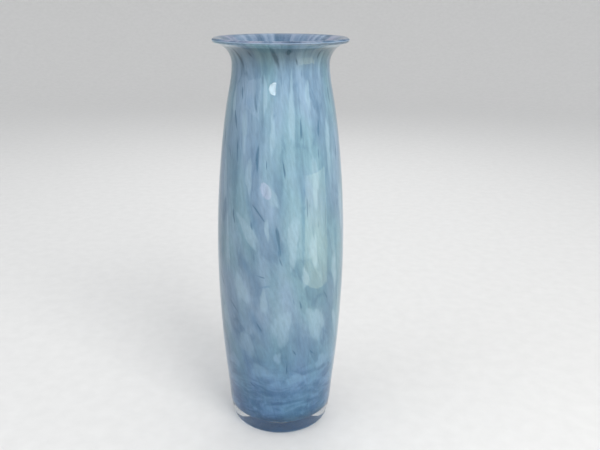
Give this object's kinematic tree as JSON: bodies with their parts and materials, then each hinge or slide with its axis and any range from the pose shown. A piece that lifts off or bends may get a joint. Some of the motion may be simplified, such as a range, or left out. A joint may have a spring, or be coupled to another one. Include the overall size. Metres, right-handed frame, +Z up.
{
  "type": "vase",
  "caption": "Tall hand blown glass vase, slightly barrel shaped, with a flared lip, mottled blue colour cased in clear glass and a thick clear heel.",
  "frame": {"origin": "centre of the foot ring, in the plane that the vase stands on", "axes": "+Z up along the vase's axis, -Y towards the front"},
  "size_m": [0.1282, 0.1282, 0.4],
  "materials": {
    "casing_glass": "clear, fire polished, glossy",
    "blue_glass": "opaque blue, seen through clear glass",
    "pale_glass": "opaque pale blue white, soft edged",
    "dark_glass": "opaque steel blue, thin streaks",
    "opal_glass": "milky blue white, opaque",
    "core_glass": "clear, glossy",
    "pontil_glass": "clear, ground and slightly rough"
  },
  "bodies": {
    "root": {"clear_casing": "casing_glass", "blue_skin": "blue_glass", "pale_chips": "pale_glass", "dark_streaks": "dark_glass", "opal_ground": "opal_glass", "clear_core": "core_glass", "pontil_mark": "pontil_glass"}
  },
  "joints": []
}
